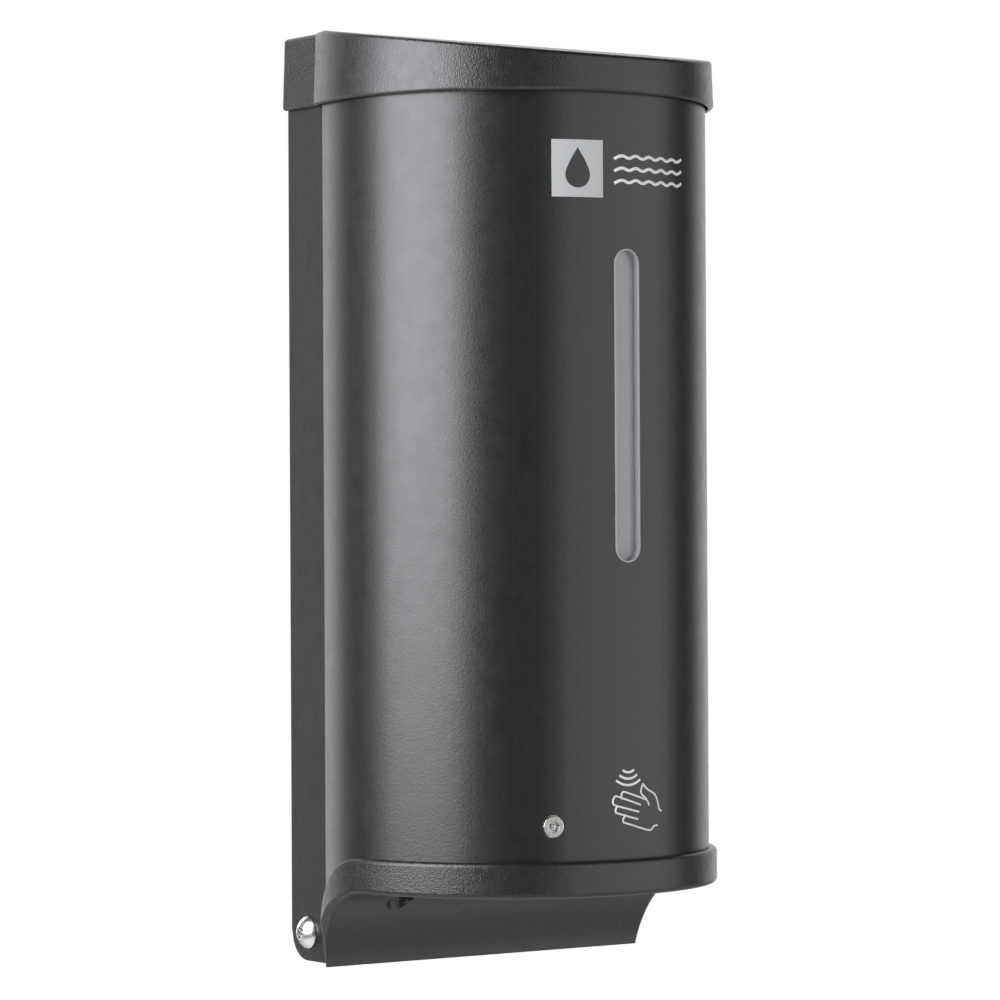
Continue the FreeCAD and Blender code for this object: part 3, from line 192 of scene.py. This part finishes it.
edge_wear_and_highlight_group.links.new(math_node(edge_wear_and_highlight_group, "MULTIPLY", sharp, patches), result.inputs[0])
edge_wear_and_highlight_group.links.new(rounded, result.inputs[1])


def use(tree, shared, **numbers):
    made = tree.nodes.new("ShaderNodeGroup")
    made.node_tree = shared
    for key, value in numbers.items():
        made.inputs[key].default_value = value
    return made


def mix_colour(tree, amount, first, second):
    return add(tree, "Mix", {"data_type": "RGBA"}, ins=[amount, None, None, None, None, None, first, second]
               ).outputs[2]


def rgba(colour):
    return (*colour, 1.0) if len(colour) == 3 else colour


def finish(name, colour, rough, metal=0.0, grain=1500.0, depth=3e-6, stretch=1.0, uneven=30.0, tone=0.12,
           rough_spread=0.1, edge_wear_and_highlight=None, edge=0.0004, second=None, **fixed):
    """A material with fine texture, uneven tone and gloss, and edges tinted with the given edge colour, which
    stands partly for rubbed wear and partly for a painted highlight along the edges.
    """
    made = bpy.data.materials.new(name)
    made.use_nodes = True
    tree = made.node_tree
    shader = tree.nodes["Principled BSDF"]
    blotch = use(tree, mottle_group, Scale=uneven)
    darker = rgba(tuple(c * (1 - tone) for c in colour[:3]))
    lighter = rgba(tuple(min(1, c * (1 + tone)) for c in (second or colour)[:3]))
    tint = mix_colour(tree, blotch.outputs["Broad"], darker, lighter)
    gloss = add(tree, "MapRange", ins=[blotch.outputs["Fine"], 0.3, 0.7, rough - rough_spread / 2,
                                       rough + rough_spread / 2]).outputs[0]
    if edge_wear_and_highlight:
        # Painted highlight and wear: the edges are mixed towards the given edge colour along the bevel mask.
        edge_rub_and_highlight = use(tree, edge_wear_and_highlight_group, Radius=edge)
        tint = mix_colour(tree, edge_rub_and_highlight.outputs["Mask"], tint, rgba(edge_wear_and_highlight))
    tree.links.new(tint, shader.inputs["Base Color"])
    tree.links.new(gloss, shader.inputs["Roughness"])
    shader.inputs["Metallic"].default_value = metal
    texture = use(tree, texture_group, Scale=grain, Stretch=stretch)
    bump = add(tree, "Bump", Strength=1.0, Distance=depth, Height=texture.outputs["Height"])
    if edge_wear_and_highlight:
        tree.links.new(edge_rub_and_highlight.outputs["Normal"], bump.inputs["Normal"])
    tree.links.new(bump.outputs[0], shader.inputs["Normal"])
    for key, value in fixed.items():
        shader.inputs[key.replace("_", " ")].default_value = value
    return made


def dress(material, *names):
    for name in names:
        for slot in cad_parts[name].material_slots:
            slot.material = material


# ---------------------------------------------------------------- cover and side strips
# Rolled and folded steel sheet, powder coated satin black, with the coat thin along the cut edges,
# where a little lighter colour is laid, partly for that wear and partly as a painted highlight.
# The light colour along the sheet edges is partly wear and partly a painted highlight.
sheet_coat = finish("black_powder_coat", (0.0075, 0.0076, 0.0078), 0.34, grain=1300, depth=2.6e-5, uneven=14,
                    tone=0.15, rough_spread=0.05, edge_wear_and_highlight=(0.05, 0.05, 0.052), edge=0.0003)
dress(sheet_coat, "front_cover", "left_side_strip", "right_side_strip")

# ---------------------------------------------------------------- printed marks
# Screen printed on the coat: a drop in a grey square with three white waves beside it near
# the top, and near the bottom a white open hand under three arcs, where the hand goes.
COVER_R, COVER_AXIS_Y = 0.0634, -0.039
HEIGHT_OF_ORIGIN = 0.150
PRINT_BACK, PRINT_FRONT = -0.00005, 0.00009
LINE_HALF = 0.00032

print_white = finish("print_white", (0.66, 0.67, 0.67), 0.42, grain=1600, depth=3e-6, uneven=90, tone=0.03)
print_grey = finish("print_grey", (0.36, 0.37, 0.375), 0.42, grain=1600, depth=3e-6, uneven=90, tone=0.04)


def wrapped(name, bm, ink=print_white):
    """Makes a piece from a flat print of x, lift and height, laid round the cover's curve."""
    reach = max(abs(v.co.x) for v in bm.verts)
    for n in range(-int(reach / 0.001) - 1, int(reach / 0.001) + 2):
        bmesh.ops.bisect_plane(bm, geom=bm.verts[:] + bm.edges[:] + bm.faces[:],
                               plane_co=(n * 0.001, 0, 0), plane_no=(1, 0, 0))
    for v in bm.verts:
        turn, out = v.co.x / COVER_R, COVER_R + v.co.y
        v.co = (out * math.sin(turn), COVER_AXIS_Y - out * math.cos(turn), v.co.z - HEIGHT_OF_ORIGIN)
    bmesh.ops.recalc_face_normals(bm, faces=bm.faces)
    mesh = bpy.data.meshes.new(name)
    bm.to_mesh(mesh)
    bm.free()
    mesh.materials.append(ink)
    piece = bpy.data.objects.new(name, mesh)
    bpy.context.scene.collection.objects.link(piece)
    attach(piece, "cover")
    return piece


def take_curve(curve, bm):
    """Adds a curve's mesh to the bmesh and removes the curve."""
    holder = bpy.data.objects.new("curve_holder", curve)
    mesh = bpy.data.meshes.new_from_object(holder)
    bm.from_mesh(mesh)
    bpy.data.objects.remove(holder)
    bpy.data.curves.remove(curve)
    bpy.data.meshes.remove(mesh)


def strokes(name, lines, half=LINE_HALF):
    """Printed lines of one width through points of x and height in millimetres."""
    bm = bmesh.new()
    for points in lines:
        curve = bpy.data.curves.new("stroke", "CURVE")
        curve.dimensions = "3D"
        curve.bevel_depth, curve.bevel_resolution, curve.use_fill_caps = half, 1, True
        curve.resolution_u = 5
        spline = curve.splines.new("NURBS")
        spline.points.add(len(points) - 1)
        for point, (x, z) in zip(spline.points, points):
            point.co = (x / 1000, 0, z / 1000, 1)
        spline.order_u = 3
        spline.use_endpoint_u = True
        take_curve(curve, bm)
    for v in bm.verts:
        v.co.y = PRINT_FRONT if v.co.y > half * 0.3 else PRINT_BACK if v.co.y < -half * 0.3 else 0
    return wrapped(name, bm)


def arc(x, z, radius, half_turn, count=7):
    turns = [math.radians(half_turn * (2 * n / (count - 1) - 1)) for n in range(count)]
    return [(x + radius * math.sin(t), z - radius * math.cos(t)) for t in turns]


strokes("sensor_arcs", [arc(-0.4, 67.0, r, 38) for r in (3.5, 5.5, 7.5)], 0.00042)
strokes("open_hand", [
    [(7.0, 54.6), (-0.9, 57.2), (-2.7, 57.7), (-3.3, 56.1), (-2.7, 55.2)],
    [(4.4, 53.2), (-3.8, 55.9), (-5.7, 56.5), (-6.6, 53.8), (-4.2, 53.0), (3.8, 51.0)],
    [(-4.8, 53.0), (-5.8, 51.3), (-3.9, 50.7), (3.4, 48.7)],
    [(-1.9, 49.9), (-3.1, 48.2), (-1.3, 47.7), (6.2, 45.4), (8.8, 44.9), (10.2, 46.7), (11.7, 46.4)],
    [(8.0, 52.8), (7.2, 54.8), (4.2, 56.8), (4.8, 58.5), (5.3, 59.8)],
    [(5.3, 59.8), (6.8, 57.9), (10.6, 56.5), (12.0, 53.4), (12.4, 51.0), (13.6, 50.9)],
])
strokes("wave_lines", [
    [(-4.6 + 2.8 * n, z + (0.8 if n % 2 else -0.8)) for n in range(12)] for z in (255.2, 251.4, 247.6)
], 0.00055)

SQUARE_LEFT, SQUARE_RIGHT, SQUARE_LOW, SQUARE_HIGH = -25.7, -8.7, 242.2, 260.0
square_x, square_z = (SQUARE_LEFT + SQUARE_RIGHT) / 2, (SQUARE_LOW + SQUARE_HIGH) / 2
emblem = bpy.data.curves.new("emblem", "CURVE")
emblem.dimensions = "2D"
emblem.fill_mode = "BOTH"
emblem.extrude = (PRINT_FRONT - PRINT_BACK) / 2
emblem.resolution_u = 16
corners = [(SQUARE_LEFT, SQUARE_LOW), (SQUARE_RIGHT, SQUARE_LOW), (SQUARE_RIGHT, SQUARE_HIGH),
           (SQUARE_LEFT, SQUARE_HIGH)]
drop = [  # a point, its handle before and its handle after, from the drop's tip round its right side
    ((0, 6.6), (-0.7, 5.2), (0.7, 5.2)),
    ((4.1, -1.9), (4.1, 0.6), (4.1, -4.2)),
    ((0, -6.0), (2.3, -6.0), (-2.3, -6.0)),
    ((-4.1, -1.9), (-4.1, -4.2), (-4.1, 0.6)),
]
frame_line = emblem.splines.new("POLY")
frame_line.points.add(3)
for point, (x, z) in zip(frame_line.points, corners):
    point.co = (x / 1000, z / 1000, 0, 1)
frame_line.use_cyclic_u = True
drop_line = emblem.splines.new("BEZIER")
drop_line.bezier_points.add(3)
for point, places in zip(drop_line.bezier_points, drop):
    spots = [Vector(((square_x + x) / 1000, (square_z + z) / 1000, 0)) for x, z in places]
    point.handle_left_type = point.handle_right_type = "FREE"
    point.co, point.handle_left, point.handle_right = spots
drop_line.use_cyclic_u = True
bm = bmesh.new()
take_curve(emblem, bm)
bmesh.ops.remove_doubles(bm, verts=bm.verts, dist=1e-7)
for v in bm.verts:
    v.co = (v.co.x, v.co.z + (PRINT_FRONT + PRINT_BACK) / 2, v.co.y)
wrapped("drop_emblem", bm, print_grey)

# ---------------------------------------------------------------- cap and lower moulding
# Injection mouldings in black plastic with a fine spark-eroded grain, screwed under the
# sheet from inside.
# The light colour laid along the moulding edges is partly rubbed wear and partly a painted highlight along the
# edges.
moulding_plastic = finish("black_moulding", (0.0095, 0.0097, 0.0100), 0.34, grain=2000, depth=8.5e-5, uneven=22,
                          tone=0.12, rough_spread=0.09, edge_wear_and_highlight=(0.11, 0.11, 0.108), edge=0.0007)
dress(moulding_plastic, "top_cap", "bottom_moulding")

# ---------------------------------------------------------------- level window
# A polycarbonate strip, slightly frosted, pushed into the slot and held inside by a black
# frame. The black inner mouldings and the clear lid of the pump share these finishes.
window_clear = finish("window_clear", (0.93, 0.95, 0.96), 0.06, grain=500, depth=1e-6, tone=0.02,
                      rough_spread=0.05, Transmission_Weight=1.0, IOR=1.5)
window_frosted = finish("window_frosted", (0.50, 0.51, 0.52), 0.22, grain=700, depth=2e-6, tone=0.03,
                        rough_spread=0.08, Transmission_Weight=0.45, IOR=1.5)
inner_black = finish("inner_black", (0.022, 0.022, 0.024), 0.5, grain=1800, depth=8e-6, uneven=35,
                     tone=0.2, edge_wear_and_highlight=(0.06, 0.06, 0.062))
dress(window_clear, "pump_lid", "status_lamp")
dress(window_frosted, "window_lens")
dress(inner_black, "window_retainer", "module_tub", "module_lid", "sensor_head", "battery_door", "door_rails",
      "dc_jack")

# ---------------------------------------------------------------- metal parts
# Stainless and zinc-plated hardware: the hinge screws, the lock with its nickel-plated
# bush, the wall plate and the small screws.
polished_steel = finish("polished_steel", (0.66, 0.65, 0.63), 0.27, 1.0, grain=2600, depth=4e-7, uneven=40,
                        tone=0.08, rough_spread=0.05, edge_wear_and_highlight=(0.78, 0.77, 0.75), edge=0.0003)
nickel_plate = finish("nickel_plate", (0.78, 0.77, 0.74), 0.34, 1.0, grain=2400, depth=4e-7, uneven=60,
                      tone=0.05, rough_spread=0.03)
zinc_plate = finish("zinc_plate", (0.33, 0.35, 0.37), 0.4, 1.0, grain=700, depth=4e-6, uneven=24, tone=0.16,
                    rough_spread=0.12, second=(0.40, 0.385, 0.35))
bright_zinc = finish("bright_zinc", (0.52, 0.54, 0.57), 0.27, 1.0, grain=2400, depth=3e-6, uneven=90, tone=0.14)
turned_brass = finish("turned_brass", (0.72, 0.53, 0.26), 0.3, 1.0, grain=2200, depth=3e-6, stretch=6.0,
                      uneven=120, tone=0.16)
dress(polished_steel, "pivot_screws", "lock_spindle", "hinge_nuts", "idler_pin", "motor_shaft", "rotor_shaft",
      "roller_pins", "tank_clip")
dress(zinc_plate, "back_plate", "catch_bracket", "drive_motor")
dress(bright_zinc, "cap_screws", "moulding_screws", "module_screws", "lock_cam", "lock_nut", "contact_plates",
      "contact_springs")
dress(nickel_plate, "lock_bush")
dress(turned_brass, "motor_pinion")

# ---------------------------------------------------------------- pump and gears
# Moulded acetal gears and rollers, a grey glass-filled body and a blue rotor.
white_acetal = finish("white_acetal", (0.78, 0.78, 0.74), 0.35, grain=1600, depth=4e-6, uneven=80, tone=0.06,
                      edge_wear_and_highlight=(0.6, 0.6, 0.57), Subsurface_Weight=0.05, Subsurface_Scale=0.002)
filled_grey = finish("filled_grey", (0.17, 0.18, 0.19), 0.52, grain=1500, depth=1.2e-5, uneven=45, tone=0.16,
                     edge_wear_and_highlight=(0.28, 0.29, 0.3))
signal_blue = finish("signal_blue", (0.03, 0.13, 0.42), 0.35, grain=1700, depth=4e-6, uneven=60, tone=0.12,
                     edge_wear_and_highlight=(0.1, 0.24, 0.55))
dress(white_acetal, "pivot_bushes", "nozzle", "output_gear", "idler_gear", "pump_roller_1", "pump_roller_2",
      "pump_roller_3")
dress(filled_grey, "gearbox_case", "pump_body", "battery_box", "switch_body")
dress(signal_blue, "pump_rotor", "filler_cap", "switch_slider")

# ---------------------------------------------------------------- soap line and tank
# Cloudy silicone tubes, dark rubber seals and a blow-moulded natural polypropylene tank.
silicone = finish("silicone", (0.72, 0.74, 0.74), 0.42, grain=1400, depth=3e-6, uneven=70, tone=0.08,
                  Transmission_Weight=0.45, IOR=1.41)
seal_rubber = finish("seal_rubber", (0.02, 0.02, 0.02), 0.62, grain=2000, depth=8e-6, uneven=60, tone=0.3)
tank_plastic = finish("tank_plastic", (0.56, 0.58, 0.57), 0.4, grain=420, depth=1.4e-5, uneven=26, tone=0.04,
                      Transmission_Weight=0.35, IOR=1.49)
dress(silicone, "suction_tube", "pump_tube", "delivery_tube", "nozzle_valve")
dress(seal_rubber, "outlet_seal", "filler_gasket")
dress(tank_plastic, "soap_tank")

# ---------------------------------------------------------------- soap
# Liquid soap fills the lower fifth of the tank, a little under the window's lower end, and
# wets the wall up to its level.
TANK_INSIDE_R, TANK_INSIDE_X, TANK_INSIDE_REAR = 0.0552, 0.0512, -0.0098
SOAP_LOW, SOAP_LEVEL = 0.1168, 0.1436

soap_liquid = finish("soap_liquid", (0.50, 0.53, 0.55), 0.12, grain=60, depth=2e-5, uneven=20, tone=0.04)
bm = bmesh.new()
bmesh.ops.create_circle(bm, cap_ends=True, segments=160, radius=TANK_INSIDE_R)
bmesh.ops.translate(bm, vec=(0, COVER_AXIS_Y, SOAP_LOW - HEIGHT_OF_ORIGIN), verts=bm.verts)
for spot, way in (((0, COVER_AXIS_Y, 0), (0, 1, 0)), ((TANK_INSIDE_X, 0, 0), (1, 0, 0)),
                  ((-TANK_INSIDE_X, 0, 0), (-1, 0, 0))):
    bmesh.ops.bisect_plane(bm, geom=bm.verts[:] + bm.edges[:] + bm.faces[:], plane_co=spot, plane_no=way,
                           clear_outer=True)
rear_edges = [e for e in bm.edges if all(abs(v.co.y - COVER_AXIS_Y) < 1e-6 for v in e.verts)]
grown = bmesh.ops.extrude_edge_only(bm, edges=rear_edges)["geom"]
bmesh.ops.translate(bm, vec=(0, TANK_INSIDE_REAR - COVER_AXIS_Y, 0),
                    verts=[g for g in grown if isinstance(g, bmesh.types.BMVert)])
grown = bmesh.ops.extrude_face_region(bm, geom=bm.faces[:])["geom"]
bmesh.ops.translate(bm, vec=(0, 0, SOAP_LEVEL - SOAP_LOW),
                    verts=[g for g in grown if isinstance(g, bmesh.types.BMVert)])
bmesh.ops.recalc_face_normals(bm, faces=bm.faces)
soap_mesh = bpy.data.meshes.new("soap_fill")
bm.to_mesh(soap_mesh)
bm.free()
soap_mesh.materials.append(soap_liquid)
soap_fill = bpy.data.objects.new("soap_fill", soap_mesh)
bpy.context.scene.collection.objects.link(soap_fill)
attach(soap_fill, "root")

# ---------------------------------------------------------------- electrics
# Printed film on the cells with a copper-coloured band and steel ends, green boards with
# dark parts, a pale plug and can tops, and the infrared window.
cell_film = finish("cell_film", (0.03, 0.035, 0.04), 0.3, grain=1500, depth=2e-6, uneven=60, tone=0.1)
board_green = finish("board_green", (0.012, 0.09, 0.035), 0.38, grain=1500, depth=5e-6, uneven=300, tone=0.35)


def repaint(material, mask_maker, colour, rough, metal=0.0):
    """Lays a second colour, gloss and metal over a finish wherever the mask is 1."""
    tree = material.node_tree
    shader = tree.nodes["Principled BSDF"]
    mask = mask_maker(tree, add(tree, "SeparateXYZ", ins=[add(tree, "TexCoord").outputs["Object"]]))
    for name, value in (("Base Color", rgba(colour)), ("Roughness", rough), ("Metallic", metal)):
        socket = shader.inputs[name]
        before = socket.links[0].from_socket if socket.links else socket.default_value
        if name == "Base Color":
            tree.links.new(mix_colour(tree, mask, before, value), socket)
        else:
            tree.links.new(add(tree, "Mix", ins=[mask, None, before, value]).outputs[0], socket)


def band(tree, value, low, high, soft=0.00004):
    """1 where the value lies between low and high."""
    above = add(tree, "MapRange", ins=[value, low - soft, low + soft, 0.0, 1.0]).outputs[0]
    below = add(tree, "MapRange", ins=[value, high - soft, high + soft, 1.0, 0.0]).outputs[0]
    return math_node(tree, "MULTIPLY", above, below)


CELL_LOW, CELL_HIGH, CELL_BAND_LOW = -0.1035, -0.0545, -0.0680
END_CAP = 0.0004
BOARD_FRONT_Y, PARTS_REACH = -0.0260, 0.02
PLUG_Y, PLUG_Z = (-0.0302, -0.0262), (-0.0986, -0.0944)
CAN_TOP_Y, CAN_Z = (-0.0375, -0.0338), (-0.0882, -0.0768)
COPPER, STEEL, DARK_PARTS, PALE_PLUG, CAN_METAL = (
    (0.55, 0.30, 0.08), (0.62, 0.62, 0.6), (0.018, 0.018, 0.02), (0.75, 0.74, 0.68), (0.6, 0.61, 0.62))


def block(tree, at, across, up):
    """1 where Y lies within across and Z lies within up."""
    return math_node(tree, "MULTIPLY", band(tree, at.outputs["Y"], *across), band(tree, at.outputs["Z"], *up))


def ends(tree, at):
    """1 beyond the printed film, at either end of a cell."""
    film = band(tree, at.outputs["Z"], CELL_LOW + END_CAP, CELL_HIGH - END_CAP)
    return math_node(tree, "SUBTRACT", 1.0, film)


repaint(cell_film, lambda t, at: band(t, at.outputs["Z"], CELL_BAND_LOW, CELL_HIGH), COPPER, 0.28, 0.8)
repaint(cell_film, ends, STEEL, 0.25, 1.0)
repaint(board_green, lambda t, at: band(
    t, at.outputs["Y"], BOARD_FRONT_Y - PARTS_REACH, BOARD_FRONT_Y - 0.0001), DARK_PARTS, 0.42)
repaint(board_green, lambda t, at: block(t, at, PLUG_Y, PLUG_Z), PALE_PLUG, 0.5)
repaint(board_green, lambda t, at: block(t, at, CAN_TOP_Y, CAN_Z), CAN_METAL, 0.3, 1.0)
dark_glass = finish("dark_glass", (0.012, 0.004, 0.006), 0.12, grain=900, depth=1e-6, uneven=60, tone=0.2)
dress(cell_film, "battery_cells")
dress(board_green, "sensor_board", "control_board")
dress(dark_glass, "sensor_window")
